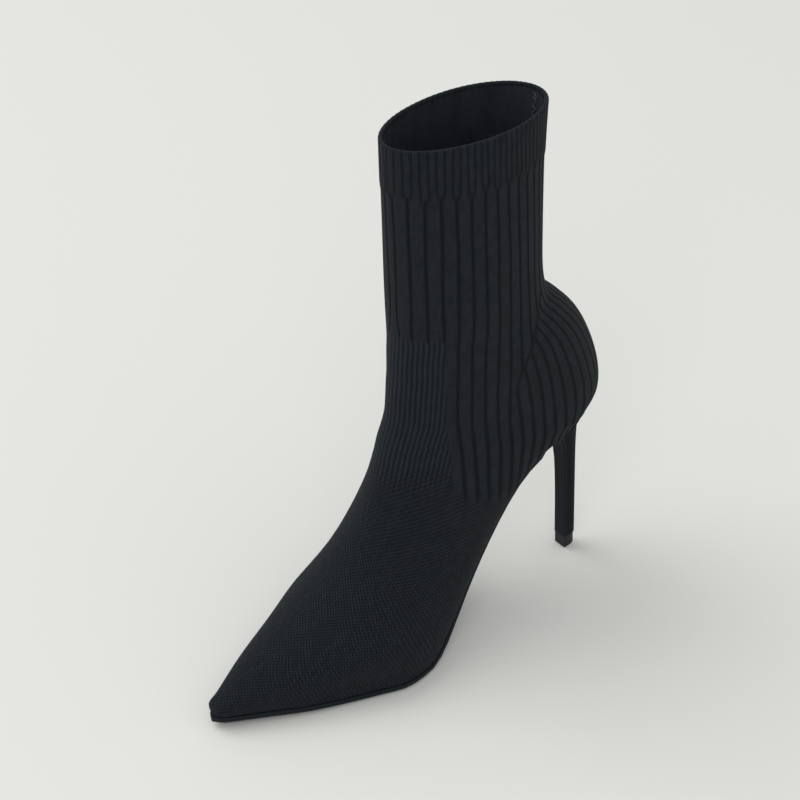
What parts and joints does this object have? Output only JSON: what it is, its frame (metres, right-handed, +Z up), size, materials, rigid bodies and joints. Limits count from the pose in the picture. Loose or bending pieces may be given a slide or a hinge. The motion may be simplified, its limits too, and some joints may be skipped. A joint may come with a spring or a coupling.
{
  "type": "sock boot",
  "caption": "Knitted ankle sock boot with a ribbed shaft, a pointed toe and a slim covered high heel, standing empty on its sole.",
  "frame": {"origin": "on the floor under the middle of the boot's box", "axes": "+X to the toe, +Y to the wearer's left, which is the inner side of this right boot, +Z up"},
  "size_m": [0.224, 0.0734, 0.2612],
  "materials": {
    "knit": "matte rib knit",
    "sole": "matte moulded rubber",
    "tread": "matte hatched rubber",
    "heel_cover": "matte suede cover",
    "heel_tip": "matte rubber",
    "insole": "matte cloth-covered board"
  },
  "bodies": {
    "root": {"upper": "knit", "outsole": "sole", "tread_pad": "tread", "heel": "heel_cover", "top_piece": "heel_tip", "insole": "insole"}
  },
  "joints": []
}
